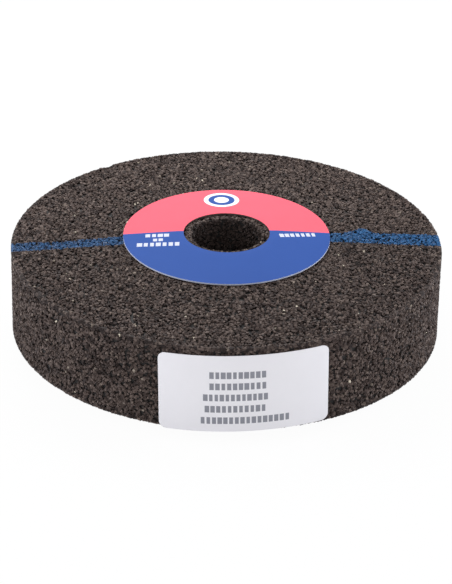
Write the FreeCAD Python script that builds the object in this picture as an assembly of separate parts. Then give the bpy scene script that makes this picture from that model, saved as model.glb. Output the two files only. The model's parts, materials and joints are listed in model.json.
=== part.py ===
import FreeCAD
import Part
import math
import os

# Straight grinding wheel, tapered on both sides, in millimetres.
# It is thickest on a small flat hub round the bore and thinner at the rim.
# +Z is the spindle axis and the origin is the middle of the bore.
# The wheel lies on its rear hub face, so the front blotter looks up. The rim label is on the -Y side.

# The abrasive wheel
wheel_diameter = 125.0
hub_thickness = 32.0
rim_thickness = 26.0
hub_flat_diameter = 29.0
bore_diameter = 20.0
bore_chamfer = 0.6
rim_chamfer = 0.6

# The blotters: card rings glued to both faces, where the clamping flanges press
blotter_diameter = 60.0
blotter_hole_diameter = 25.0
blotter_thickness = 0.4

# The paper label stuck round the rim, with its foot at the wheel's lower edge
label_width = 48.0
label_top_margin = 2.2
label_thickness = 0.12
label_corner_radius = 2.0
label_angle = 5.4
label_tilt = 1.2

# What follows from those sizes
wheel_radius = wheel_diameter / 2
bore_radius = bore_diameter / 2
hub_flat_radius = hub_flat_diameter / 2
hub_half = hub_thickness / 2
rim_half = rim_thickness / 2
blotter_radius = blotter_diameter / 2
blotter_hole_radius = blotter_hole_diameter / 2
label_height = rim_thickness - label_top_margin
taper_angle = math.atan2(hub_half - rim_half, wheel_radius - hub_flat_radius)

# Cutting tools reach this far past what they cut
overshoot = 2.0

centre = FreeCAD.Vector(0, 0, 0)
spindle_axis = FreeCAD.Vector(0, 0, 1)
outward = FreeCAD.Vector(0, -1, 0)


def taper_height(radius, lift=0.0):
    """Height of the front taper at a radius, or of a layer of thickness lift that lies on it."""
    fall = (radius - hub_flat_radius) * math.tan(taper_angle)
    return hub_half - fall + lift / math.cos(taper_angle)


def turned(section):
    """Solid of revolution about the spindle axis from the (radius, height) corners of its section."""
    corners = [FreeCAD.Vector(radius, 0, height) for radius, height in section]
    face = Part.Face(Part.makePolygon(corners + corners[:1]))
    return face.revolve(centre, spindle_axis, 360)


def ring(outer_radius, inner_radius, height):
    """Round ring of a height about the spindle axis, centred on z = 0."""
    foot = FreeCAD.Vector(0, 0, -height / 2)
    outer = Part.makeCylinder(outer_radius, height, foot)
    return outer.cut(Part.makeCylinder(inner_radius, height, foot))


def round_edges(shape, radius, height):
    """The circular edges of a turned shape at this radius and this far above and below its middle."""
    found = []
    for edge in shape.Edges:
        if not isinstance(edge.Curve, Part.Circle):
            continue
        gap = max(abs(edge.Curve.Radius - radius), abs(abs(edge.Curve.Center.z) - height))
        if gap < 1e-6:
            found.append(edge)
    return found


def make_abrasive_wheel():
    """The bonded wheel: one moulded piece with a straight bore, a flat hub and a taper on each face."""
    wheel = turned([
        (bore_radius, hub_half),
        (hub_flat_radius, hub_half),
        (wheel_radius, rim_half),
        (wheel_radius, -rim_half),
        (hub_flat_radius, -hub_half),
        (bore_radius, -hub_half),
    ])
    wheel = wheel.makeChamfer(bore_chamfer, round_edges(wheel, bore_radius, hub_half))
    return wheel.makeChamfer(rim_chamfer, round_edges(wheel, wheel_radius, rim_half))


def make_blotter(side):
    """A card ring pressed onto one face (side 1 or -1): flat over the hub, then dished along the taper."""
    bend_radius = hub_flat_radius + blotter_thickness * math.tan(taper_angle / 2)
    outside = blotter_radius + overshoot
    section = [
        (bore_radius, hub_half),
        (hub_flat_radius, hub_half),
        (outside, taper_height(outside)),
        (outside, taper_height(outside, blotter_thickness)),
        (bend_radius, hub_half + blotter_thickness),
        (bore_radius, hub_half + blotter_thickness),
    ]
    card = turned([(radius, side * height) for radius, height in section])
    punch = ring(blotter_radius, blotter_hole_radius, hub_thickness + overshoot)
    return card.common(punch)


def make_rim_label():
    """A die-cut paper label with round corners, wrapped on the rim a little askew."""
    half_chord = wheel_radius * math.sin(label_width / wheel_diameter)
    half_height = label_height / 2
    reach = wheel_radius + overshoot
    die = Part.makeBox(2 * half_chord, reach, label_height, FreeCAD.Vector(-half_chord, -reach, -half_height))
    corners = [edge for edge in die.Edges if abs(edge.tangentAt(edge.FirstParameter).y) > 0.9]
    die = die.makeFillet(label_corner_radius, corners)
    die.rotate(centre, outward, label_tilt)
    die.translate(FreeCAD.Vector(0, 0, half_height - rim_half))
    die.rotate(centre, spindle_axis, label_angle)
    paper = ring(wheel_radius + label_thickness, wheel_radius, rim_thickness + 2 * overshoot)
    return paper.common(die)


def write(name, shape):
    """Writes one piece as parts/NAME.step, and prints its volume."""
    solid = shape.Solids[0]
    if len(shape.Solids) != 1 or not solid.isValid() or solid.Volume <= 0:
        raise ValueError(f"{name} isn't one sound solid")
    solid.exportStep(f"parts/{name}.step")
    print(f"{name}: {solid.Volume:.2f} mm3")


os.makedirs("parts", exist_ok=True)
write("abrasive_wheel", make_abrasive_wheel())
write("front_blotter", make_blotter(1))
write("rear_blotter", make_blotter(-1))
write("rim_label", make_rim_label())
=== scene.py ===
import json
import math

import bpy
import numpy as np
from mathutils import Matrix, Vector


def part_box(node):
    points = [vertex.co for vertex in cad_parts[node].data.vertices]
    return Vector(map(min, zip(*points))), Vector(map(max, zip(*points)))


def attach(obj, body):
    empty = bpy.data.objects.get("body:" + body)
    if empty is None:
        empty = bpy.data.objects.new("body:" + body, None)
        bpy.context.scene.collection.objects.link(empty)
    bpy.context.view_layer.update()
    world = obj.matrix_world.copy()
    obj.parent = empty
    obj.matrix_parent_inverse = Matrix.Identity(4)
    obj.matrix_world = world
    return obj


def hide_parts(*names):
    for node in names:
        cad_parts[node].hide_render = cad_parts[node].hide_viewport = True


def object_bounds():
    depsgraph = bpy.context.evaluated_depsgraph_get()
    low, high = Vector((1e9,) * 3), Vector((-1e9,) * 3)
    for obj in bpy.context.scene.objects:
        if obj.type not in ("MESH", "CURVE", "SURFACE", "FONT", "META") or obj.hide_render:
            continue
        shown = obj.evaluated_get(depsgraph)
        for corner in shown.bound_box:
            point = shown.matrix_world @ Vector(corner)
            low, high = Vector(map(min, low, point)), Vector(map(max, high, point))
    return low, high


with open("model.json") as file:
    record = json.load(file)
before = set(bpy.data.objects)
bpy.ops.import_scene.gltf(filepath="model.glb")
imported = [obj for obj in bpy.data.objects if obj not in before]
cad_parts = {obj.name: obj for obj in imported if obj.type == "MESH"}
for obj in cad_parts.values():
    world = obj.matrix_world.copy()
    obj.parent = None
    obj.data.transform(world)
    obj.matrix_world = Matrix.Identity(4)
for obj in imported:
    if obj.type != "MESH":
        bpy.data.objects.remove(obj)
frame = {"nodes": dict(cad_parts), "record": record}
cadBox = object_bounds()
print("frame loaded")

mm = 0.001

# Sizes read from the frame: the wheel's outside, its hub and its bore
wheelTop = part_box("abrasive_wheel")[1]
outerRadius = max(wheelTop)
hubHalf = wheelTop.z
boreMount = next(mount for mount in frame["record"]["mounts"] if mount["name"] == "bore")
boreRadius = boreMount["dims"]["r_mm"] * mm

# The sizes of the wheel's form that the frame doesn't list
wheelForm = {
    "rimHalf": 13.0 * mm,
    "hubFlatRadius": 14.5 * mm,
    "boreBreak": 0.6 * mm,
    "cornerSoftness": 0.8 * mm,  # how far round a corner the crumbled edge reaches
    "lineStep": 0.05 * mm,
}

# Where the two cards and the label lie
cardForm = {
    "holeRadius": 12.5 * mm,
    "facing": 0.7,  # a card covers skin whose outward direction is at least this much up or down
    "seat": 1.2 * mm,  # the grain reaches this far in under the edge of a card or the label
}
labelForm = {
    "width": 48.0 * mm,
    "height": 23.8 * mm,
    "turn": math.radians(5.4),
    "tilt": math.radians(1.2),
    "middleHeight": -1.1 * mm,
    "rimDepth": 1.0 * mm,  # it covers only skin that is within this of the rim's radius
}


def cardPlace(node):
    # Centre and radius of a card from the box of its node
    low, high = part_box(node)
    return (low.x + high.x) / 2, (low.y + high.y) / 2, (high.x - low.x) / 2


frontCard = cardPlace("front_blotter")
rearCard = cardPlace("rear_blotter")


# Shapes

def sectionLine(form):
    # Half section of the wheel: a closed line of evenly spaced (radius, height) points whose corners
    # are rounded by a running mean, with the outward direction at each point and the line's length
    edge = form["boreBreak"]
    corners = np.array([
        (boreRadius, edge - hubHalf),
        (boreRadius + edge, -hubHalf),
        (form["hubFlatRadius"], -hubHalf),
        (outerRadius, -form["rimHalf"]),
        (outerRadius, form["rimHalf"]),
        (form["hubFlatRadius"], hubHalf),
        (boreRadius + edge, hubHalf),
        (boreRadius, hubHalf - edge),
    ])
    closed = np.vstack([corners, corners[:1]])
    reach = np.concatenate([[0], np.cumsum(np.linalg.norm(np.diff(closed, axis=0), axis=1))])
    count = int(reach[-1] / form["lineStep"])
    along = np.arange(count) * reach[-1] / count
    line = np.stack([np.interp(along, reach, column) for column in closed.T], axis=1)
    window = int(form["cornerSoftness"] / form["lineStep"]) | 1
    padded = np.concatenate([line[-window:], line, line[:window]])
    mean = np.ones(window) / window
    soft = np.stack([np.convolve(column, mean, "same") for column in padded.T], axis=1)[window:-window]
    slope = np.roll(soft, -1, axis=0) - np.roll(soft, 1, axis=0)
    outward = np.stack([slope[:, 1], -slope[:, 0]], axis=1)
    outward /= np.linalg.norm(outward, axis=1, keepdims=True)
    return soft, outward, reach[-1]


sectionPoints, sectionOutward, sectionLength = sectionLine(wheelForm)


def onWheel(share, turn):
    # Places on the wheel's skin and the three directions there. share runs once round the half
    # section, turn is the angle about the spindle from -Y towards +X, and the directions are along
    # the section, round the spindle and outwards.
    steps = np.arange(len(sectionPoints) + 1) / len(sectionPoints)

    def read(column):
        # A column of the section line where share falls, between its two nearest points
        return np.interp(share % 1.0, steps, np.append(column, column[0]))

    radius, height = read(sectionPoints[:, 0]), read(sectionPoints[:, 1])
    outR, outZ = read(sectionOutward[:, 0]), read(sectionOutward[:, 1])
    size = np.hypot(outR, outZ)
    outR, outZ = outR / size, outZ / size
    east, north = np.sin(turn), -np.cos(turn)
    place = np.stack([radius * east, radius * north, height], axis=-1)
    outward = np.stack([outR * east, outR * north, outZ], axis=-1)
    along = np.stack([-outZ * east, -outZ * north, outR], axis=-1)
    around = np.stack([-north, east, np.zeros_like(east)], axis=-1)
    return place, along, around, outward


def labelOffsets(place):
    # How far a place on the rim is from the label's middle, along the label and up it
    turn = np.arctan2(place[:, 0], -place[:, 1]) - labelForm["turn"]
    side = ((turn + math.pi) % (2 * math.pi) - math.pi) * outerRadius
    rise = place[:, 2] - labelForm["middleHeight"]
    c, s = math.cos(labelForm["tilt"]), math.sin(labelForm["tilt"])
    return side * c + rise * s, rise * c - side * s


def covered(place, outward):
    # True where a card or the label lies on the skin, further inside its edge than the grain reaches
    inset = cardForm["seat"]
    under = np.zeros(len(place), bool)
    for (x, y, cardRadius), side in ((frontCard, 1), (rearCard, -1)):
        away = np.hypot(place[:, 0] - x, place[:, 1] - y)
        on = (away > cardForm["holeRadius"] + inset) & (away < cardRadius - inset)
        under |= on & (outward[:, 2] * side > cardForm["facing"])
    side, rise = labelOffsets(place)
    inWidth = abs(side) < labelForm["width"] / 2 - inset
    inHeight = abs(rise) < labelForm["height"] / 2 - inset
    onRim = np.hypot(place[:, 0], place[:, 1]) > outerRadius - labelForm["rimDepth"]
    return under | (inWidth & inHeight & onRim)


def newPiece(name, points, faces, material, flat=False, bakeMap=None):
    # A mesh object from rows of points in metres and rows of point numbers. bakeMap is the place in a
    # square map of every face's every corner, for baked colours.
    mesh = bpy.data.meshes.new(name)
    mesh.vertices.add(len(points))
    mesh.vertices.foreach_set("co", points.astype(np.float32).ravel())
    mesh.loops.add(faces.size)
    mesh.loops.foreach_set("vertex_index", faces.astype(np.int32).ravel())
    mesh.polygons.add(len(faces))
    mesh.polygons.foreach_set("loop_start", np.arange(0, faces.size, faces.shape[1], dtype=np.int32))
    mesh.update(calc_edges=True)
    if flat:
        mesh.shade_flat()
    else:
        mesh.shade_smooth()
    if bakeMap is not None:
        mesh.uv_layers.new(name="OFBake").uv.foreach_set("vector", bakeMap.astype(np.float32).ravel())
    mesh.materials.append(material)
    piece = bpy.data.objects.new(name, mesh)
    bpy.context.scene.collection.objects.link(piece)
    return piece


# Node helpers

def addNode(tree, kind, inputs=None, **settings):
    # One node with its settings. An input is a number, a colour or another node's output.
    node = tree.nodes.new(kind)
    for name, value in settings.items():
        setattr(node, name, value)
    for key, value in (inputs or {}).items():
        setInput(tree, node.inputs[key], value)
    return node


def setInput(tree, socket, value):
    # A socket is linked to another node's output or gets a value of its own
    if isinstance(value, bpy.types.NodeSocket):
        tree.links.new(value, socket)
    else:
        socket.default_value = value


def calc(tree, operation, *values):
    # A Math node on one to three values
    return addNode(tree, "ShaderNodeMath", dict(enumerate(values)), operation=operation).outputs[0]


def ease(tree, value, low, high):
    # 0 below low, 1 above high and a smooth rise between
    inputs = {"Value": value, "From Min": low, "From Max": high}
    return addNode(tree, "ShaderNodeMapRange", inputs, interpolation_type="SMOOTHSTEP").outputs["Result"]


def distanceFrom(tree, x, y, point=(0.0, 0.0)):
    # How far (x, y) is from a point, or else from the spindle
    dx, dy = calc(tree, "SUBTRACT", x, point[0]), calc(tree, "SUBTRACT", y, point[1])
    return calc(tree, "SQRT", calc(tree, "MULTIPLY_ADD", dx, dx, calc(tree, "MULTIPLY", dy, dy)))


def lineOffsets(tree, x, y, start, end):
    # How far a point is along the line from start to end, and how far to its left
    length = math.hypot(end[0] - start[0], end[1] - start[1])
    c, s = (end[0] - start[0]) / length, (end[1] - start[1]) / length
    dx, dy = calc(tree, "SUBTRACT", x, start[0]), calc(tree, "SUBTRACT", y, start[1])
    along = calc(tree, "MULTIPLY_ADD", dx, c, calc(tree, "MULTIPLY", dy, s))
    across = calc(tree, "MULTIPLY_ADD", dy, c, calc(tree, "MULTIPLY", dx, -s))
    return along, across, length


def mixColour(tree, share, first, second, blend="MIX"):
    # The first colour blended with the second, which counts as much as share says. Sockets 6 and 7 are
    # the node's two colours.
    node = addNode(tree, "ShaderNodeMix", data_type="RGBA", blend_type=blend)
    for number, value in ((0, share), (6, first), (7, second)):
        setInput(tree, node.inputs[number], value)
    return node.outputs[2]


def ramp(tree, value, stops):
    # A colour ramp from (position, red, green, blue) stops
    node = addNode(tree, "ShaderNodeValToRGB", {"Fac": value})
    marks = node.color_ramp.elements
    while len(marks) < len(stops):
        marks.new(0.5)
    for mark, (position, *colour) in zip(marks, stops):
        mark.position = position
        mark.color = (*colour, 1.0)
    return node.outputs["Color"]


def drawCurve(node, points):
    # Straight runs through (x, y) points from 0 to 1 in a Float Curve node
    curve = node.mapping.curves[0]
    while len(curve.points) < len(points):
        curve.points.new(0.5, 0.5)
    for mark, (x, y) in zip(curve.points, points):
        mark.location = (x, y)
        mark.handle_type = "VECTOR"
    node.mapping.update()


def noise(tree, place, size, detail, roughness):
    # Cloudy noise whose lumps are about size across, in metres. detail is how many finer layers it has,
    # and roughness how strong they are.
    inputs = {"Vector": place, "Scale": 1 / size, "Detail": detail, "Roughness": roughness}
    return addNode(tree, "ShaderNodeTexNoise", inputs).outputs["Fac"]


def bump(tree, height, relief, strength):
    # The normal of a surface with a small relief: a height of 1 stands for relief in metres
    inputs = {"Height": height, "Distance": relief, "Strength": strength}
    return addNode(tree, "ShaderNodeBump", inputs).outputs["Normal"]


def newGroup(name, inputs, outputs):
    # A shader node group with number or vector sockets
    kinds = {"value": "NodeSocketFloat", "vector": "NodeSocketVector"}
    group = bpy.data.node_groups.new(name, "ShaderNodeTree")
    for label, kind in inputs:
        group.interface.new_socket(name=label, in_out="INPUT", socket_type=kinds[kind])
    for label, kind in outputs:
        group.interface.new_socket(name=label, in_out="OUTPUT", socket_type=kinds[kind])
    given = group.nodes.new("NodeGroupInput").outputs
    return group, given, group.nodes.new("NodeGroupOutput").inputs


def useGroup(tree, group, **inputs):
    # A group placed in a material with its own values
    return addNode(tree, "ShaderNodeGroup", inputs, node_tree=group).outputs


def newMaterial(name):
    # A material with a Principled shader, its node tree and the place on the object in metres
    material = bpy.data.materials.new(name)
    material.use_nodes = True
    tree = material.node_tree
    place = addNode(tree, "ShaderNodeTexCoord").outputs["Object"]
    return material, tree, tree.nodes["Principled BSDF"], place


# Effects shared by materials

skinSockets = (
    [("Place", "vector"), ("Contrast", "value")],
    [("Shade", "value"), ("Height", "value")],
)
gritForm = {
    "coarse": (0.5 * mm, 3.0, 0.6),  # size, detail and roughness of a noise
    "fine": (0.12 * mm, 2.0, 0.6),
    "patch": (14 * mm, 2.0, 0.5),
    "coarseShare": 0.6,  # the coarse mottling's part of the shade, and the patches have the rest
    "fineHeight": 0.5,  # the fine mottling's height where the coarse one's is 1
}
fibreForm = {"cloud": (6 * mm, 3.0, 0.55), "fibre": (0.25 * mm, 3.0, 0.65), "cloudShare": 0.7}
rowForm = {
    "halfWidth": 0.3,  # half the width of the narrowest block, as a share of its cell
    "halfSpread": 0.14,  # what the widest has more
    "seedStep": 31.0,  # from one row to the next, so that their widths differ
}


def shadeAround(tree, first, second, share, contrast):
    # A shade around 1: first and second are blended, and a half is taken off before the contrast
    rest = calc(tree, "MULTIPLY", second, 1.0 - share)
    blend = calc(tree, "MULTIPLY_ADD", first, share, rest)
    return calc(tree, "MULTIPLY_ADD", calc(tree, "SUBTRACT", blend, 0.5), contrast, 1.0)


def makeGritSkin():
    # Fine mottling of mineral and resin: a shade to multiply a colour by and a height for bumps
    group, given, out = newGroup("gritSkin", *skinSockets)
    coarse = noise(group, given["Place"], *gritForm["coarse"])
    fine = noise(group, given["Place"], *gritForm["fine"])
    patch = noise(group, given["Place"], *gritForm["patch"])
    shade = shadeAround(group, coarse, patch, gritForm["coarseShare"], given["Contrast"])
    group.links.new(shade, out["Shade"])
    group.links.new(calc(group, "MULTIPLY_ADD", fine, gritForm["fineHeight"], coarse), out["Height"])
    return group


def makePaperFibre():
    # Paper or card: faint cloudiness and fibres, as a shade and a height
    group, given, out = newGroup("paperFibre", *skinSockets)
    cloud = noise(group, given["Place"], *fibreForm["cloud"])
    fibre = noise(group, given["Place"], *fibreForm["fibre"])
    shade = shadeAround(group, cloud, fibre, fibreForm["cloudShare"], given["Contrast"])
    group.links.new(shade, out["Shade"])
    group.links.new(fibre, out["Height"])
    return group


def makePrintedRow():
    # A row of small printed blocks that stands in for a line of print. Along runs from the row's start
    # and Across from its middle line: Cells equal cells, each filled over its own random width.
    group, given, out = newGroup(
        "printedRow",
        [(name, "value") for name in ("Along", "Across", "Length", "Height", "Cells", "Seed")],
        [("Mask", "value")],
    )
    cell = calc(group, "MULTIPLY", calc(group, "DIVIDE", given["Along"], given["Length"]), given["Cells"])
    number = calc(group, "ADD", calc(group, "FLOOR", cell), given["Seed"])
    chance = addNode(group, "ShaderNodeTexWhiteNoise", noise_dimensions="1D")
    setInput(group, chance.inputs["W"], number)
    fromMiddle = calc(group, "ABSOLUTE", calc(group, "SUBTRACT", calc(group, "FRACT", cell), 0.5))
    spread = (chance.outputs["Value"], rowForm["halfSpread"], rowForm["halfWidth"])
    inCell = calc(group, "LESS_THAN", fromMiddle, calc(group, "MULTIPLY_ADD", *spread))
    halfHeight = calc(group, "MULTIPLY", given["Height"], 0.5)
    inRow = calc(group, "LESS_THAN", calc(group, "ABSOLUTE", given["Across"]), halfHeight)
    halfLength = calc(group, "MULTIPLY", given["Length"], 0.5)
    fromCentre = calc(group, "ABSOLUTE", calc(group, "SUBTRACT", given["Along"], halfLength))
    inLength = calc(group, "LESS_THAN", fromCentre, halfLength)
    mask = calc(group, "MULTIPLY", calc(group, "MULTIPLY", inCell, inRow), inLength)
    group.links.new(mask, out["Mask"])
    return group


def printRows(tree, colour, x, y, form):
    # A colour with rows of blocks over it. A row is its start, its end, the blocks' height and how many.
    for number, (start, end, height, cells) in enumerate(form["rows"]):
        start, end = [(px * mm, py * mm) for px, py in (start, end)]
        along, across, length = lineOffsets(tree, x, y, start, end)
        sizes = {"Length": length, "Height": height * mm, "Cells": float(cells)}
        seed = number * rowForm["seedStep"]
        mask = useGroup(tree, printedRow, Along=along, Across=across, Seed=seed, **sizes)["Mask"]
        colour = mixColour(tree, calc(tree, "MULTIPLY", mask, form["inkShare"]), colour, form["ink"])
    return colour


gritSkin = makeGritSkin()
paperFibre = makePaperFibre()
printedRow = makePrintedRow()
print("shared effects made")


# Abrasive: crushed grain held in a dark resin

stripeForm = {
    "footRise": 0.0732,  # how much its lower edge climbs per unit to the right
    "footHeight": -3.6 * mm,  # where that edge would cross the spindle
    "upperEdge": [  # the marker's upper edge as (x, y) in mm, drawn by hand, with one slip up and back
        (-62, -2.9), (-56, -2.4), (-52, -2.8), (-39, -1.8), (-33, -0.8), (33, 4.6), (36.5, 6.3),
        (39, 8.8), (40.5, 8.8), (43.5, 5.8), (46, 6.8), (62, 8.2),
    ],
    "reach": 62.5,  # mm, half the span that the upper edge's curve covers both ways
    "ragged": 1.8 * mm,  # how far the edges wander in all
    "raggedNoise": (1.6 * mm, 3.0, 0.6),  # size, detail and roughness
    "edgeFade": (-0.1 * mm, 0.25 * mm),  # how far inside the edges the paint sets in and is full
    "paintDepth": (0.4 * mm, 0.8 * mm),  # how deep below the face it starts to thin, and where it ends
    "patchNoise": (0.7 * mm, 2.0, 0.6),
    "patchFade": (0.25, 0.42),  # no paint where that noise is below the first, all above the second
    "hiddenRadius": 25.0 * mm,  # nearer to the spindle the card covers it
    "thin": 0.68,  # how well the paint covers on the left, where the marker ran dry
    "full": 0.97,  # and on the right
    "toneNoise": (0.9 * mm, 2.0, 0.6),
    "tones": [(0.3, 0.006, 0.043, 0.115), (0.55, 0.02, 0.105, 0.255), (0.75, 0.06, 0.172, 0.37)],
}
grainFinish = {
    "tones": [  # from grain as dark as a pore to the few pale ones
        (0.0, 0.022, 0.0151, 0.0138),
        (0.45, 0.0655, 0.0465, 0.0402),
        (0.9, 0.116, 0.0845, 0.0725),
        (0.995, 0.163, 0.124, 0.103),
        (1.0, 0.75, 0.66, 0.52),
    ],
    "contrast": 0.9,
    "roughness": 0.32,
    "roughnessByShade": 0.25,
    "shine": 0.12,
    "bump": (0.03 * mm, 0.6),
}
bondFinish = {
    # near black: the resin's own dark, and painted shade deep in the pores
    "tones": [(0.0, 0.004, 0.0035, 0.0035), (1.0, 0.012, 0.01, 0.0095)],
    "contrast": 1.4,
    "roughness": 0.75,
    "bump": (0.06 * mm, 0.8),
}


def insideBand(tree, place, x, y, across):
    # How far a point is inside the stripe's two edges, which wander a little
    form, reach = stripeForm, stripeForm["reach"]
    foot = calc(tree, "MULTIPLY_ADD", x, form["footRise"], form["footHeight"])
    edge = addNode(tree, "ShaderNodeFloatCurve", {"Value": across})
    drawCurve(edge, [(px / reach / 2 + 0.5, py / reach / 2 + 0.5) for px, py in form["upperEdge"]])
    top = calc(tree, "MULTIPLY", calc(tree, "SUBTRACT", edge.outputs["Value"], 0.5), 2 * reach * mm)
    inside = calc(tree, "MINIMUM", calc(tree, "SUBTRACT", top, y), calc(tree, "SUBTRACT", y, foot))
    wander = calc(tree, "SUBTRACT", noise(tree, place, *form["raggedNoise"]), 0.5)
    return calc(tree, "MULTIPLY_ADD", wander, form["ragged"], inside)


def belowFace(tree, radius, z):
    # How deep a point lies below the front face: flat over the hub, and then down the taper
    slope = (hubHalf - wheelForm["rimHalf"]) / (outerRadius - wheelForm["hubFlatRadius"])
    beyondHub = calc(tree, "MAXIMUM", calc(tree, "SUBTRACT", radius, wheelForm["hubFlatRadius"]), 0.0)
    face = calc(tree, "SUBTRACT", hubHalf, calc(tree, "MULTIPLY", beyondHub, slope))
    return calc(tree, "SUBTRACT", face, z)


def makeMarkerStripe():
    # The marker's stripe across the front face: 1 on the grain tops along a band with ragged edges,
    # less where the marker ran dry, and 0 in the pores and under the card
    form = stripeForm
    group, given, out = newGroup("markerStripe", [("Place", "vector")], [("Mask", "value")])
    split = addNode(group, "ShaderNodeSeparateXYZ", {"Vector": given["Place"]}).outputs
    x, y, z = split["X"], split["Y"], split["Z"]
    across = calc(group, "MULTIPLY_ADD", x, 0.5 / (form["reach"] * mm), 0.5)
    band = ease(group, insideBand(group, given["Place"], x, y, across), *form["edgeFade"])
    radius = distanceFrom(group, x, y)
    onTop = calc(group, "SUBTRACT", 1.0, ease(group, belowFace(group, radius, z), *form["paintDepth"]))
    patchy = ease(group, noise(group, given["Place"], *form["patchNoise"]), *form["patchFade"])
    painted = calc(group, "MULTIPLY", calc(group, "MULTIPLY", band, onTop), patchy)
    inSight = calc(group, "GREATER_THAN", radius, form["hiddenRadius"])
    ink = calc(group, "MULTIPLY_ADD", across, form["full"] - form["thin"], form["thin"])
    group.links.new(calc(group, "MULTIPLY", calc(group, "MULTIPLY", painted, inSight), ink), out["Mask"])
    return group


def makeAbrasiveMaterial(markerStripe):
    # Each grain has its tone, with painted shade in the bore and painted light on the rim, mottled finely,
    # with marker paint where the stripe crosses it
    form = grainFinish
    material, tree, shader, place = newMaterial("abrasiveGrain")
    tone = addNode(tree, "ShaderNodeAttribute", attribute_name="grainTone").outputs["Fac"]
    skin = useGroup(tree, gritSkin, Place=place, Contrast=form["contrast"])
    stone = mixColour(tree, 1.0, ramp(tree, tone, form["tones"]), skin["Shade"], "MULTIPLY")
    paint = ramp(tree, noise(tree, place, *stripeForm["toneNoise"]), stripeForm["tones"])
    mask = useGroup(tree, markerStripe, Place=place)["Mask"]
    tree.links.new(mixColour(tree, mask, stone, paint), shader.inputs["Base Color"])
    rough = calc(tree, "MULTIPLY_ADD", skin["Shade"], form["roughnessByShade"], form["roughness"])
    tree.links.new(rough, shader.inputs["Roughness"])
    shader.inputs["Specular IOR Level"].default_value = form["shine"]
    tree.links.new(bump(tree, skin["Height"], *form["bump"]), shader.inputs["Normal"])
    return material


def makeBondMaterial():
    # The dark resin at the bottom of the pores, with painted shade of the deep pores in its near black
    form = bondFinish
    material, tree, shader, place = newMaterial("resinBondAndPoreShade")
    skin = useGroup(tree, gritSkin, Place=place, Contrast=form["contrast"])
    tree.links.new(ramp(tree, skin["Shade"], form["tones"]), shader.inputs["Base Color"])
    shader.inputs["Roughness"].default_value = form["roughness"]
    tree.links.new(bump(tree, skin["Height"], *form["bump"]), shader.inputs["Normal"])
    return material


bondForm = {
    "around": 432,
    "along": 180,
    "depth": 0.9 * mm,
    "seatDepth": 0.03 * mm,  # its depth under the cards and the label
    "unevenness": 0.08 * mm,
    "lumpSize": 2.5 * mm,
    "lumpSpread": (0.7, 1.4),
    "waves": 14,
    "seed": 5,
}


def lumps(place):
    # Soft unevenness of about -1 to 1: twice the mean of sine waves with random directions and starts
    rng = np.random.default_rng(bondForm["seed"])
    waves = bondForm["waves"]
    ways = rng.normal(size=(waves, 3))
    ways *= rng.uniform(*bondForm["lumpSpread"], (waves, 1)) / np.linalg.norm(ways, axis=1, keepdims=True)
    starts = rng.uniform(0, 2 * math.pi, waves)
    return np.sin(place @ ways.T * (2 * math.pi / bondForm["lumpSize"]) + starts).mean(axis=1) * 2


def makeBondBody(material):
    # Closed body of revolution: the half section carried round the spindle on a grid, pulled in by the
    # pores' depth except under the cards and the label
    rounds, steps = bondForm["around"], bondForm["along"]
    row, column = np.meshgrid(np.arange(steps), np.arange(rounds), indexing="ij")
    place, _, _, outward = onWheel(row.ravel() / steps, column.ravel() * 2 * math.pi / rounds)
    depth = bondForm["depth"] + bondForm["unevenness"] * lumps(place)
    depth = np.where(covered(place, outward), bondForm["seatDepth"], depth)
    points = place - outward * depth[:, None]
    rows = np.stack([row, row, row + 1, row + 1], axis=-1).reshape(-1, 4)
    columns = np.stack([column, column + 1, column + 1, column], axis=-1).reshape(-1, 4)
    faces = rows % steps * rounds + columns % rounds
    bakeMap = np.stack([columns / rounds, rows / steps], axis=-1)
    return newPiece("bond_body", points, faces, material, bakeMap=bakeMap)


grainForm = {
    "spacing": 0.72 * mm,  # each grain has a square of this side to itself
    "wander": 0.24 * mm,
    "size": 0.69 * mm,
    "sizeSpread": 0.22,
    "stretch": (0.75, 1.15),  # the least and the most that a cube is drawn out along a side
    "cornerShift": 0.2,  # as a share of the size
    "middleDepth": 0.4 * mm,
    "topDepth": 0.1 * mm,  # the deepest that a flat top lies below the moulded skin
    "topTilt": 0.45,
    "missing": 0.22,  # the share of places that stay empty
    "sunken": 0.12,  # the share of grains that lie deeper
    "sunkenDepth": 0.25 * mm,
    "edgeReach": 1.0 * mm,  # this near to the rim's two edges the grains are full, with flatter tops
    "edgeCalm": 0.4,  # what is left there of the tops' tilt and depth
    "edgeSize": 1.25,
    "edgePaintedPores": 0.35,  # the share of them painted as dark as a pore: painted shade of a pore, with the resin's own dark
    "chipTurn": math.radians(216.4),  # a small chip out of the front edge of the rim
    "chipReach": 1.6 * mm,
    "chipDepth": 0.45 * mm,
    "borePaintedShade": 0.5,  # painted shade in the bore: its grains' tones are brought down to this share
    "rimPaintedLight": 0.88,  # painted light on the rim, which is a little paler: its grains' tones are raised to this power
    "paleFrom": 0.995,
    "paleSize": 0.7,
    "mapMargin": 2.0 * mm,  # free space round the grains in the bake map
    "rimStrips": 4,  # strips that a round wall is cut into for its map
    "boreStrips": 2,
    "seed": 24,
}
cubeCorners = np.array([(x, y, z) for x in (-0.5, 0.5) for y in (-0.5, 0.5) for z in (-0.5, 0.5)])
cubeFaces = np.array([
    (0, 1, 3), (0, 3, 2), (4, 6, 7), (4, 7, 5), (0, 4, 5), (0, 5, 1),
    (2, 3, 7), (2, 7, 6), (0, 2, 6), (0, 6, 4), (1, 5, 7), (1, 7, 3),
])
goldenTurn = math.pi * (3 - math.sqrt(5))


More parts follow.
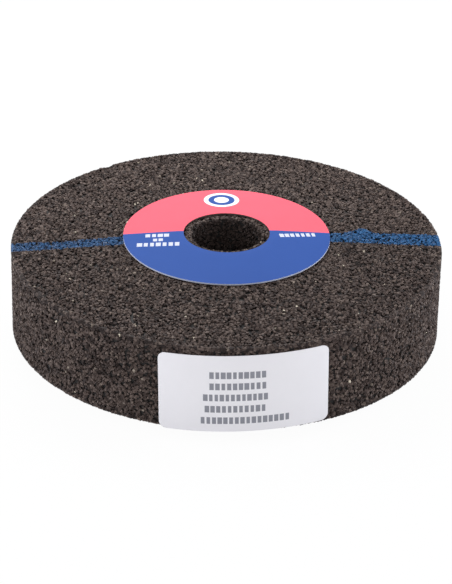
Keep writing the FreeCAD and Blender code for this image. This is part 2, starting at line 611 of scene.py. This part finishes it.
def randomTurns(rng, count):
    # Rotation matrices from random unit quaternions
    w, x, y, z = rng.normal(size=(count, 4)).T
    size = np.sqrt(w * w + x * x + y * y + z * z)
    w, x, y, z = w / size, x / size, y / size, z / size
    return np.array([
        [1 - 2 * (y * y + z * z), 2 * (x * y - w * z), 2 * (x * z + w * y)],
        [2 * (x * y + w * z), 1 - 2 * (x * x + z * z), 2 * (y * z - w * x)],
        [2 * (x * z - w * y), 2 * (y * z + w * x), 1 - 2 * (x * x + y * y)],
    ]).transpose(2, 0, 1)


def grainSpots(rng):
    # Spread evenly over the whole skin: grain k lies where k parts of the area have been passed, turned
    # by k golden angles, and is then moved a little at random
    passed = np.concatenate([[0], np.cumsum(sectionPoints[:, 0])])
    area = 2 * math.pi * passed[-1] * sectionLength / len(sectionPoints)
    count = int(area / grainForm["spacing"] ** 2)
    order = np.arange(count)
    shares = np.linspace(0, 1, len(passed))
    share = np.interp((order + 0.5) / count, passed / passed[-1], shares)
    turn = order * goldenTurn
    radius = np.interp(share, shares, np.append(sectionPoints[:, 0], sectionPoints[0, 0]))
    wander = rng.uniform(-1, 1, (2, count)) * grainForm["wander"]
    return share + wander[0] / sectionLength, turn + wander[1] / radius


def nearRimEdge(place):
    # True within reach of one of the rim's two edges
    beyondRim = np.hypot(place[:, 0], place[:, 1]) - outerRadius
    return np.hypot(beyondRim, abs(place[:, 2]) - wheelForm["rimHalf"]) < grainForm["edgeReach"]


def crushedShapes(rng, tone, atEdge):
    # Corners of every grain about its own middle: a cube with its corners moved and the whole turned,
    # both at random
    count = len(tone)
    size = grainForm["size"] * (1 + grainForm["sizeSpread"] * rng.uniform(-1, 1, count))
    size[tone > grainForm["paleFrom"]] *= grainForm["paleSize"]
    size[atEdge] *= grainForm["edgeSize"]
    shape = cubeCorners * rng.uniform(*grainForm["stretch"], (count, 1, 3))
    shape = (shape + rng.uniform(-1, 1, (count, 8, 3)) * grainForm["cornerShift"]) * size[:, None, None]
    return np.einsum("nij,nkj->nki", randomTurns(rng, count), shape)


def pressedHeights(rng, shape, place, atEdge):
    # Height of every corner from the skin: each grain is sunk in the bond, and what would stand higher
    # than a slightly tilted plane or the skin is pressed down to it. Some grains lie deeper, and so do
    # those of the chip.
    count = len(shape)
    sunk = np.where((rng.random(count) < grainForm["sunken"]) & ~atEdge, grainForm["sunkenDepth"], 0.0)
    chip = grainForm["chipTurn"]
    chipPlace = (outerRadius * math.sin(chip), -outerRadius * math.cos(chip), wheelForm["rimHalf"])
    inChip = np.linalg.norm(place - chipPlace, axis=1) < grainForm["chipReach"]
    sunk = np.where(inChip, grainForm["chipDepth"], sunk)
    height = shape[:, :, 2] - (grainForm["middleDepth"] + sunk)[:, None]
    calm = np.where(atEdge, grainForm["edgeCalm"], 1.0)
    tilt = rng.normal(size=(count, 1, 2)) * (grainForm["topTilt"] * calm)[:, None, None]
    depth = sunk + rng.uniform(0, grainForm["topDepth"], count) * calm
    level = (tilt * shape[:, :, :2]).sum(axis=2) - depth[:, None]
    return np.minimum(height, np.minimum(level, 0.0))


def insideMould(points):
    # Points moved straight back onto the moulded outline where they stand out of it: inwards to the
    # rim's radius, and down or up to the cone of the face
    radius = np.hypot(points[..., 0], points[..., 1])
    points[..., :2] *= np.minimum(1, outerRadius / radius)[..., None]
    reach = np.clip(radius, wheelForm["hubFlatRadius"], outerRadius)
    face = np.interp(reach, [wheelForm["hubFlatRadius"], outerRadius], [hubHalf, wheelForm["rimHalf"]])
    points[..., 2] = np.clip(points[..., 2], -face, face)
    return points


def flatMap(points):
    # Grains of a face as they are seen from above
    return points[..., :2] / (2 * outerRadius + grainForm["mapMargin"]) + 0.5


def unrolledMap(points, radius, halfHeight, strips):
    # Grains of a round wall unrolled into strips that lie one above the other in the map
    margin = grainForm["mapMargin"]
    middle = points.mean(axis=1)
    middleTurn = np.arctan2(middle[:, 1], middle[:, 0]) + math.pi
    turn = np.arctan2(points[..., 1], points[..., 0]) + math.pi - middleTurn[:, None]
    turn = (turn + math.pi) % (2 * math.pi) - math.pi + middleTurn[:, None]
    stripTurn = 2 * math.pi / strips
    strip = np.floor(middleTurn / stripTurn)[:, None]
    pitch = 2 * halfHeight + margin
    along = (turn - strip * stripTurn) * radius + margin / 2
    up = points[..., 2] + halfHeight + margin / 2 + strip * pitch
    return np.stack([along, up], axis=-1) / max(pitch * strips, stripTurn * radius + margin)


def grainPiece(name, points, height, tone, material, bakeMap):
    # One object of many closed grains, with the grain's tone kept at each of its points, painted shade in
    # the bore and painted light on the rim included. The faces come in the order of their height, lowest
    # first, because in the bake map a later face lies over an earlier one.
    count = len(points)
    faces = (cubeFaces + np.arange(count)[:, None, None] * 8).reshape(-1, 3)
    faces = faces[height.ravel()[faces].mean(axis=1).argsort()]
    cornerMap = bakeMap.reshape(-1, 2)[faces]
    piece = newPiece(name, points.reshape(-1, 3), faces, material, flat=True, bakeMap=cornerMap)
    toneLayer = piece.data.attributes.new("grainTone", "FLOAT", "POINT")
    toneLayer.data.foreach_set("value", np.repeat(tone, 8).astype(np.float32))
    print(name, "has", count, "grains")
    return piece


def makeGrains(material):
    # Every grain of the skin, in one piece for each wall of the wheel. Some places stay empty as pores.
    rng = np.random.default_rng(grainForm["seed"])
    place, along, around, outward = onWheel(*grainSpots(rng))
    atEdge = nearRimEdge(place)
    present = atEdge | (rng.random(len(place)) > grainForm["missing"])
    kept = present & ~covered(place, outward)
    place, along, around, outward, atEdge = (a[kept] for a in (place, along, around, outward, atEdge))
    tone = rng.random(len(place))
    shape = crushedShapes(rng, tone, atEdge)
    height = pressedHeights(rng, shape, place, atEdge)
    # Painted pores at the edges: these grains get the darkest tone, painted shade with the resin's dark
    tone[atEdge & (rng.random(len(place)) < grainForm["edgePaintedPores"])] = 0.0
    points = place[:, None] + shape[:, :, :1] * along[:, None] + shape[:, :, 1:2] * around[:, None]
    points = insideMould(points + height[:, :, None] * outward[:, None])
    sideways = (place[:, :2] * outward[:, :2]).sum(axis=1) / np.hypot(place[:, 0], place[:, 1])
    onFace = abs(outward[:, 2]) >= abs(sideways)
    onRim, inBore = ~onFace & (sideways > 0), ~onFace & (sideways < 0)
    # Painted shade: the bore's grains are darkened
    tone[inBore] *= grainForm["borePaintedShade"]
    # Painted light: the rim's grains are made paler
    tone[onRim] **= grainForm["rimPaintedLight"]
    faceMap = flatMap(points)
    rimMap = unrolledMap(points, outerRadius, wheelForm["rimHalf"], grainForm["rimStrips"])
    boreMap = unrolledMap(points, boreRadius, hubHalf, grainForm["boreStrips"])
    walls = {
        "front_grain": (onFace & (outward[:, 2] > 0), faceMap),
        "rear_grain": (onFace & (outward[:, 2] < 0), faceMap),
        "rim_grain": (onRim, rimMap),
        "bore_grain": (inBore, boreMap),
    }
    return [
        grainPiece(name, points[chosen], height[chosen], tone[chosen], material, bakeMap[chosen])
        for name, (chosen, bakeMap) in walls.items()
    ]


bondBody = makeBondBody(makeBondMaterial())
grainPieces = makeGrains(makeAbrasiveMaterial(makeMarkerStripe()))
for piece in (bondBody, *grainPieces):
    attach(piece, "root")
    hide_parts("abrasive_wheel")
print("abrasive made")


# Cards and label

frontPrint = {
    "turn": math.radians(3.35),
    "boundary": 1.15 * mm,  # height of the two colours' boundary above the card's centre
    "red": (0.86, 0.122, 0.166, 1.0),
    "blue": (0.0275, 0.079, 0.302, 1.0),
    "card": (0.5, 0.52, 0.62, 1.0),
    # painted shade on the wall of the card's hole
    "holeWallShade": (0.1, 0.07, 0.065, 1.0),
    "cutWidth": 0.01 * mm,  # skin this near to the outer cut edge shows the card itself, and near the hole's edge painted shade
    "disc": (-1.75 * mm, 22.2 * mm),
    "discRadius": 5.25 * mm,
    "ringOuter": 3.9 * mm,
    "ringInner": 2.2 * mm,
    "ink": (0.85, 0.85, 0.88, 1.0),  # the white of the disc and the blocks
    "inkShare": 0.7,
    "rows": [  # start, end and height of the blocks in mm, and how many
        ((-23.7, -2.1), (-16.5, -2.1), 1.9, 4),
        ((-21.4, -4.9), (-18.2, -4.8), 1.6, 2),
        ((-25.9, -7.6), (-13.3, -7.6), 2.1, 7),
        ((15.2, -1.1), (25.9, 1.1), 2.0, 7),
    ],
    "contrast": 0.12,
    "roughness": 0.55,
    "roughnessByFibre": 0.2,
    "shine": 0.08,
    "bump": (0.03 * mm, 0.35),
}
rearFinish = {
    "card": (0.66, 0.62, 0.54, 1.0),
    "contrast": 0.3,
    "roughness": 0.85,
    "bump": (0.04 * mm, 0.6),
}
labelPrint = {
    "paper": (0.845, 0.813, 0.83, 1.0),
    "ink": (0.24, 0.24, 0.27, 1.0),
    "inkShare": 1.0,
    "rows": [  # start, end and height of the blocks in mm, and how many
        ((-9.9, 5.8), (6.0, 5.8), 2.1, 10),
        ((-9.9, 2.3), (6.1, 2.3), 2.1, 10),
        ((-11.6, -1.2), (6.5, -1.2), 2.1, 12),
        ((-11.2, -4.8), (5.9, -4.8), 2.1, 11),
        ((-12.4, -8.4), (12.6, -8.4), 2.1, 16),
    ],
    "contrast": 0.05,
    "roughness": 0.5,
    "bump": (0.02 * mm, 0.3),
}


def addPaper(tree, shader, place, colour, form):
    # Gives a shader the colour with the paper's fibre in it, and the fibre's small relief
    fibre = useGroup(tree, paperFibre, Place=place, Contrast=form["contrast"])
    tree.links.new(mixColour(tree, 1.0, colour, fibre["Shade"], "MULTIPLY"), shader.inputs["Base Color"])
    tree.links.new(bump(tree, fibre["Height"], *form["bump"]), shader.inputs["Normal"])
    return fibre["Height"]


def makeFrontCardMaterial():
    # Two printed fields with a slanting boundary, a white disc with a plain ring, rows of small blocks,
    # bare card at the outer cut edge, and painted shade on the hole's edge
    form = frontPrint
    material, tree, shader, place = newMaterial("printedCard")
    split = addNode(tree, "ShaderNodeSeparateXYZ", {"Vector": place}).outputs
    x, y = split["X"], split["Y"]
    centre = frontCard[:2]
    tip = (centre[0] + math.cos(form["turn"]), centre[1] + math.sin(form["turn"]))
    _, above, _ = lineOffsets(tree, x, y, centre, tip)
    upper = calc(tree, "GREATER_THAN", above, form["boundary"])
    colour = mixColour(tree, upper, form["blue"], form["red"])
    fromDisc = distanceFrom(tree, x, y, form["disc"])
    inDisc = calc(tree, "LESS_THAN", fromDisc, form["discRadius"])
    colour = mixColour(tree, inDisc, colour, form["ink"])
    inOuter = calc(tree, "LESS_THAN", fromDisc, form["ringOuter"])
    inRing = calc(tree, "MULTIPLY", inOuter, calc(tree, "GREATER_THAN", fromDisc, form["ringInner"]))
    colour = mixColour(tree, inRing, colour, form["blue"])
    colour = printRows(tree, colour, x, y, form)
    fromCentre = distanceFrom(tree, x, y, centre)
    cutEdge = calc(tree, "GREATER_THAN", fromCentre, frontCard[2] - form["cutWidth"])
    colour = mixColour(tree, cutEdge, colour, form["card"])
    # Painted shade on the hole's edge of the card
    shadedHoleWall = calc(tree, "LESS_THAN", fromCentre, cardForm["holeRadius"] + form["cutWidth"])
    colour = mixColour(tree, shadedHoleWall, colour, form["holeWallShade"])
    height = addPaper(tree, shader, place, colour, form)
    rough = calc(tree, "MULTIPLY_ADD", height, form["roughnessByFibre"], form["roughness"])
    tree.links.new(rough, shader.inputs["Roughness"])
    shader.inputs["Specular IOR Level"].default_value = form["shine"]
    return material


def makeRearCardMaterial():
    # Unprinted card
    material, tree, shader, place = newMaterial("plainCard")
    addPaper(tree, shader, place, rearFinish["card"], rearFinish)
    shader.inputs["Roughness"].default_value = rearFinish["roughness"]
    return material


def makeLabelMaterial():
    # White paper with rows of small grey blocks, laid out round the rim
    material, tree, shader, place = newMaterial("labelPaper")
    split = addNode(tree, "ShaderNodeSeparateXYZ", {"Vector": place}).outputs
    turn = calc(tree, "ARCTAN2", split["X"], calc(tree, "MULTIPLY", split["Y"], -1.0))
    side = calc(tree, "MULTIPLY", calc(tree, "SUBTRACT", turn, labelForm["turn"]), outerRadius)
    rise = calc(tree, "SUBTRACT", split["Z"], labelForm["middleHeight"])
    level = (math.cos(labelForm["tilt"]), math.sin(labelForm["tilt"]))
    along, across, _ = lineOffsets(tree, side, rise, (0.0, 0.0), level)
    colour = printRows(tree, labelPrint["paper"], along, across, labelPrint)
    addPaper(tree, shader, place, colour, labelPrint)
    shader.inputs["Roughness"].default_value = labelPrint["roughness"]
    return material


def dressNode(name, material):
    # A CAD node keeps its shape and gets a material in each of its slots
    node = frame["nodes"][name]
    for holder in node.material_slots:
        holder.material = material
    if not node.material_slots:
        node.data.materials.append(material)


dressNode("front_blotter", makeFrontCardMaterial())
dressNode("rear_blotter", makeRearCardMaterial())
dressNode("rim_label", makeLabelMaterial())
print("cards and label dressed")


# Floor, light and camera

stageForm = {"floorHalf": 2.0, "floorWhite": 0.9, "floorOwnLight": 0.965, "worldLight": 0.5}
white = (1.0, 1.0, 1.0)
cool = (0.93, 1.0, 1.1)
softboxes = {  # place, side, power and colour
    "backSoftbox": ((-0.05, 0.17, 0.22), 0.2, 0.67, white),
    "leftSoftbox": ((-0.7, 0.0, 0.18), 0.5, 3.7, cool),
    "rightSoftbox": ((0.7, 0.15, 0.15), 0.5, 4.9, cool),
    "frontSoftbox": ((0.05, -0.9, 0.22), 0.7, 1.7, cool),
}


def showsWhite(tree):
    # 1 for what the camera, a reflection or a clear piece sees, and 0 for light on the object
    path = addNode(tree, "ShaderNodeLightPath").outputs
    seen = calc(tree, "MAXIMUM", path["Is Camera Ray"], path["Is Glossy Ray"])
    return calc(tree, "MAXIMUM", seen, path["Is Transmission Ray"])


def letsThrough(tree):
    # 1 where the floor is clear: from below, and for light that comes up to the underside right under
    # the wheel, as on a light table
    fromBelow = addNode(tree, "ShaderNodeNewGeometry").outputs["Backfacing"]
    path = addNode(tree, "ShaderNodeLightPath").outputs
    lightOnly = calc(tree, "MAXIMUM", path["Is Diffuse Ray"], path["Is Shadow Ray"])
    place = addNode(tree, "ShaderNodeTexCoord").outputs["Object"]
    split = addNode(tree, "ShaderNodeSeparateXYZ", {"Vector": place}).outputs
    underWheel = calc(tree, "LESS_THAN", distanceFrom(tree, split["X"], split["Y"]), outerRadius)
    return calc(tree, "MAXIMUM", fromBelow, calc(tree, "MULTIPLY", lightOnly, underWheel))


def makeFloor():
    # A pale floor: matt white that keeps the shadow, lifted towards white where it is seen
    half, foot = stageForm["floorHalf"], cadBox[0].z
    points = np.array([(-half, -half, foot), (half, -half, foot), (half, half, foot), (-half, half, foot)])
    material = bpy.data.materials.new("floor")
    material.use_nodes = True
    tree = material.node_tree
    tree.nodes.clear()
    pale = (stageForm["floorWhite"],) * 3 + (1.0,)
    matt = addNode(tree, "ShaderNodeBsdfDiffuse", {"Color": pale}).outputs[0]
    glow = addNode(tree, "ShaderNodeEmission", {"Color": (*white, 1.0), "Strength": 1.0}).outputs[0]
    share = calc(tree, "MULTIPLY", showsWhite(tree), stageForm["floorOwnLight"])
    shown = addNode(tree, "ShaderNodeMixShader", {0: share, 1: matt, 2: glow}).outputs[0]
    clear = addNode(tree, "ShaderNodeBsdfTransparent").outputs[0]
    both = addNode(tree, "ShaderNodeMixShader", {0: letsThrough(tree), 1: shown, 2: clear}).outputs[0]
    tree.links.new(both, addNode(tree, "ShaderNodeOutputMaterial").inputs["Surface"])
    floor = newPiece("floor", points, np.array([(0, 1, 2, 3)]), material, flat=True)


def makeWorld():
    # Even pale light from all round, seen as white
    world = bpy.data.worlds.new("studio")
    bpy.context.scene.world = world
    world.use_nodes = True
    tree = world.node_tree
    background = tree.nodes["Background"]
    background.inputs["Color"].default_value = (*white, 1.0)
    light = stageForm["worldLight"]
    lift = calc(tree, "MULTIPLY_ADD", showsWhite(tree), 1.0 - light, light)
    tree.links.new(lift, background.inputs["Strength"])


def makeSoftbox(name, place, size, power, colour):
    # A square lamp that looks at the wheel
    lamp = bpy.data.lights.new(name, "AREA")
    lamp.shape = "SQUARE"
    lamp.size = size
    lamp.energy = power
    lamp.color = colour
    holder = bpy.data.objects.new(name, lamp)
    holder.location = place
    holder.rotation_mode = "QUATERNION"
    holder.rotation_quaternion = (-Vector(place)).to_track_quat("-Z", "Y")
    bpy.context.scene.collection.objects.link(holder)


# The photograph's camera: how far it is, how high it looks from, how it is rolled, and where the
# middle of the wheel falls in its frame
cameraFit = {
    "distance": 0.792,
    "elevation": math.radians(28.24),
    "roll": math.radians(1.16),
    "frameWidth": 452,
    "frameHeight": 584,
    "middleX": 225.7,
    "middleY": 282.4,
    "pixelsPerMetre": 3415.0,
    "sensor": 36.0,
    "nearest": 0.05,
    "farthest": 20.0,
}


def makeCamera():
    # The long side of the frame takes the whole sensor, so the lens follows from the scale at the wheel
    fit = cameraFit
    camera = bpy.data.cameras.new("camera")
    camera.sensor_width = fit["sensor"]
    camera.lens = fit["sensor"] * fit["pixelsPerMetre"] * fit["distance"] / fit["frameHeight"]
    camera.clip_start, camera.clip_end = fit["nearest"], fit["farthest"]
    back = Vector((0, -math.cos(fit["elevation"]), math.sin(fit["elevation"])))
    turn = (-back).to_track_quat("-Z", "Y").to_matrix() @ Matrix.Rotation(fit["roll"], 3, "Z")
    right = (fit["frameWidth"] / 2 - fit["middleX"]) / fit["pixelsPerMetre"]
    down = (fit["frameHeight"] / 2 - fit["middleY"]) / fit["pixelsPerMetre"]
    place = back * fit["distance"] + turn @ Vector((right, -down, 0))
    holder = bpy.data.objects.new("camera", camera)
    holder.matrix_world = Matrix.Translation(place) @ turn.to_4x4()
    bpy.context.scene.collection.objects.link(holder)
    bpy.context.scene.camera = holder


makeFloor()
makeWorld()
for name, form in softboxes.items():
    makeSoftbox(name, *form)
makeCamera()
bpy.context.scene.view_settings.view_transform = "Standard"
print("stage made")

bpy.context.view_layer.update()
